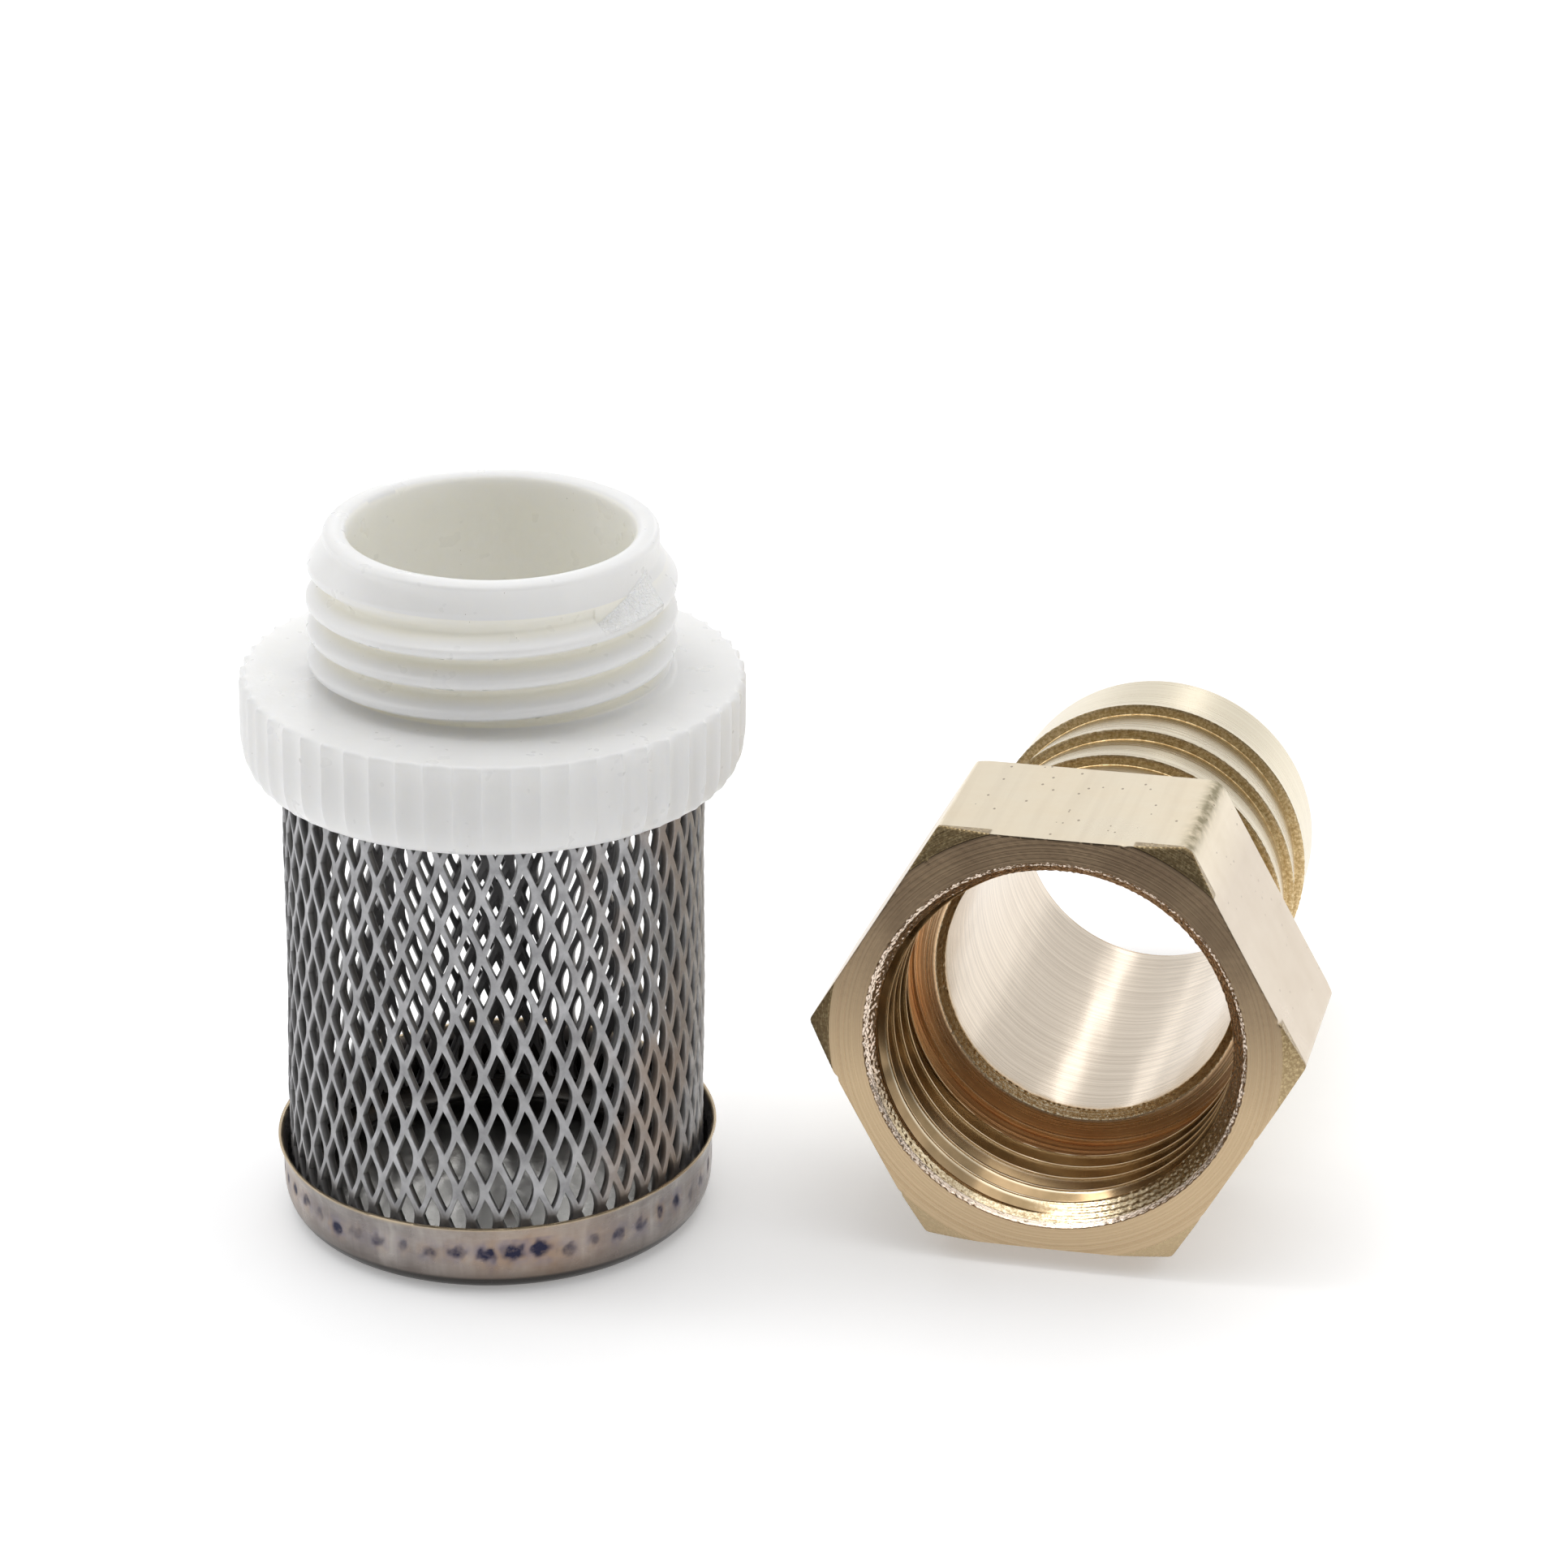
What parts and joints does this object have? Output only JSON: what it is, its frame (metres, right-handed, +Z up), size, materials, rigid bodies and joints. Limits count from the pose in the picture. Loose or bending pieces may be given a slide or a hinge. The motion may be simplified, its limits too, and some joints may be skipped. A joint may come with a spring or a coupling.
{
  "type": "foot valve strainer",
  "caption": "Suction foot strainer: threaded plastic collar on a mesh basket with a pressed end cup, and a barbed brass hose tail lying beside it.",
  "frame": {"origin": "centre of the end cup's flat bottom, on the floor that both parts rest on", "axes": "+Z up the strainer's axis from the cup to the threaded collar; the hose tail lies at +X with its mouth towards -Y and its stem towards +Y, its axis parallel to the YZ plane and dropping 5.65 degrees towards the stem"},
  "size_m": [0.0619, 0.0543, 0.0419],
  "materials": {
    "pressed_steel": "bright pressed stainless sheet with a faint heat tint and spot-weld marks",
    "expanded_steel": "dull slit and stretched stainless sheet with sheared edges",
    "white_nylon": "milky moulded nylon, satin, slightly translucent",
    "turned_brass": "machined brass, drawn flats, bright turned stem and a dull worn edge"
  },
  "bodies": {
    "strainer": {"strainer_collar": "white_nylon", "strainer_mesh": "expanded_steel", "strainer_cup": "pressed_steel"},
    "hose_tail": {"hose_tail": "turned_brass"}
  },
  "joints": [
    {"name": "hose_tail_tip", "type": "hinge", "parent": "strainer", "child": "hose_tail", "pos_m": [0.0332, -0.00143, 0.00119], "axis": [1, 0, 0], "range_deg": [0, 95.65]}
  ]
}
